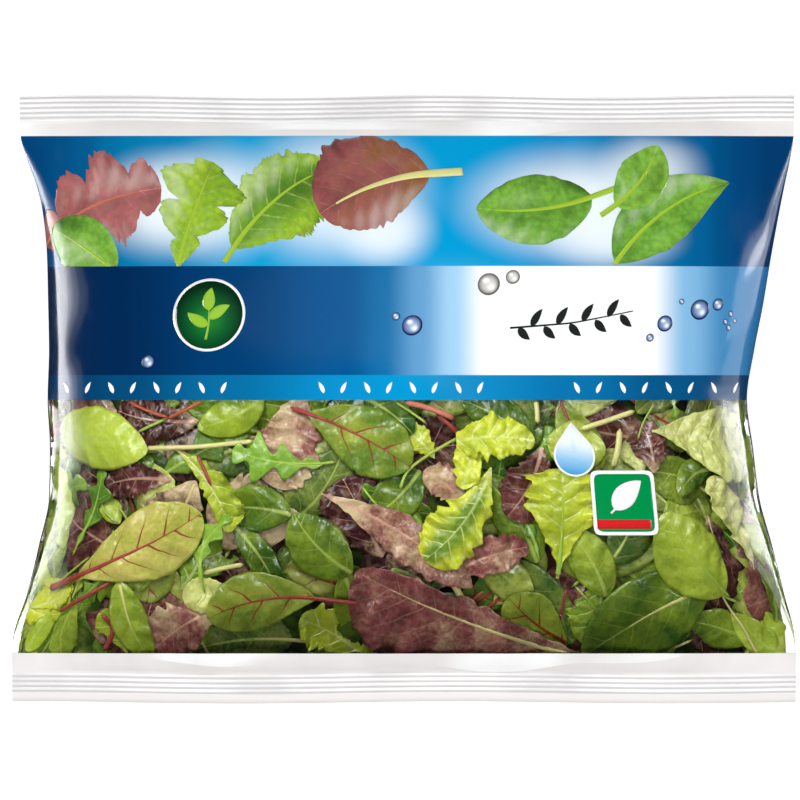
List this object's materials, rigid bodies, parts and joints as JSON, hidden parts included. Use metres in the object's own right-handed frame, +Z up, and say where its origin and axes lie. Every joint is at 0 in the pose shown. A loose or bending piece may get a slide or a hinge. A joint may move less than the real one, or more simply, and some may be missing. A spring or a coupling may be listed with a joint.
{
  "type": "bag of salad leaves",
  "caption": "Sealed clear pillow bag of mixed salad leaves, lying flat, with a printed upper half, a clear lower half and ribbed welds at both ends.",
  "frame": {"origin": "middle of the bag's box, on the surface that the bag lies on", "axes": "+X across the bag to the right of its printed front, +Y from its bottom seal to its top seal, +Z up through the printed front"},
  "size_m": [0.2726, 0.2118, 0.0724],
  "materials": {
    "printed_film": "glossy thin plastic film, printed above and clear below"
  },
  "bodies": {
    "root": {"bag": "printed_film"}
  },
  "joints": []
}
